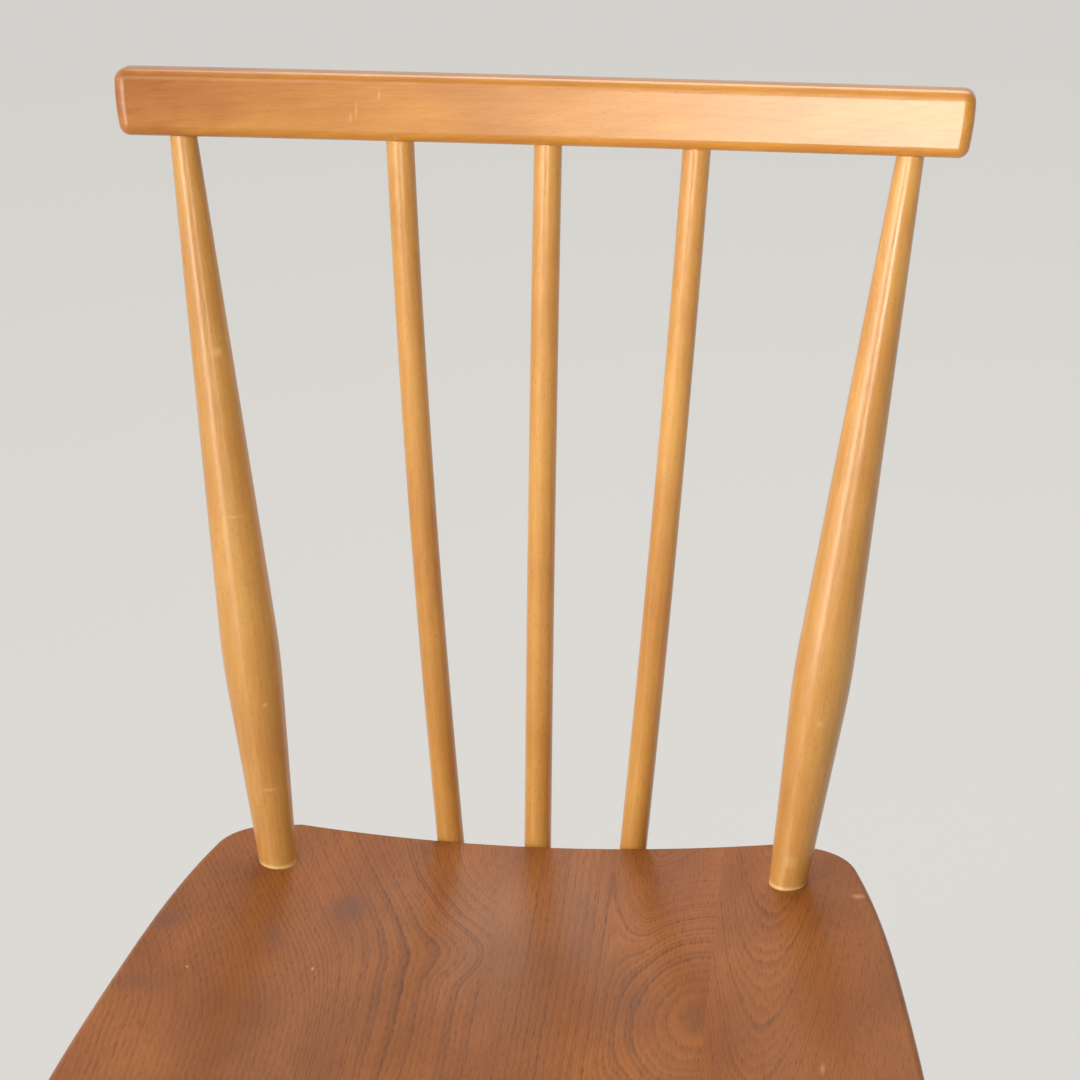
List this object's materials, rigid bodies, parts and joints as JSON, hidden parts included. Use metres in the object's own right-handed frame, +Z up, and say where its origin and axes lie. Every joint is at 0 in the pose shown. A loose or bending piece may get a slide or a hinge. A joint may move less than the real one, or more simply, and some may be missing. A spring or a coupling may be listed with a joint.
{
  "type": "windsor chair",
  "caption": "Low stick-back windsor dining chair: hollowed seat of three glued boards, swelled posts, bent spindles, bowed crest rail, splayed legs with an H of stretchers.",
  "frame": {"origin": "on the floor, under the middle of the chair's box", "axes": "+X to the right of a person who looks at the chair's front, +Y towards the chair's back, +Z up"},
  "size_m": [0.3888, 0.4374, 0.7812],
  "materials": {
    "elm": "gloss lacquered elm",
    "beech": "satin lacquered beech",
    "beech_end": "beech, cut flush and lacquered"
  },
  "bodies": {
    "root": {"seat_board_left": "elm", "seat_board_centre": "elm", "seat_board_right": "elm", "back_post_left": "beech", "back_post_right": "beech", "post_wedge_left": "beech_end", "post_wedge_right": "beech_end", "spindle_left": "beech", "spindle_centre": "beech", "spindle_right": "beech", "crest_rail": "beech", "crest_pin_left": "beech_end", "crest_pin_right": "beech_end", "front_leg_left": "beech", "front_leg_right": "beech", "rear_leg_left": "beech", "rear_leg_right": "beech", "side_stretcher_left": "beech", "side_stretcher_right": "beech", "cross_stretcher": "beech"}
  },
  "joints": []
}
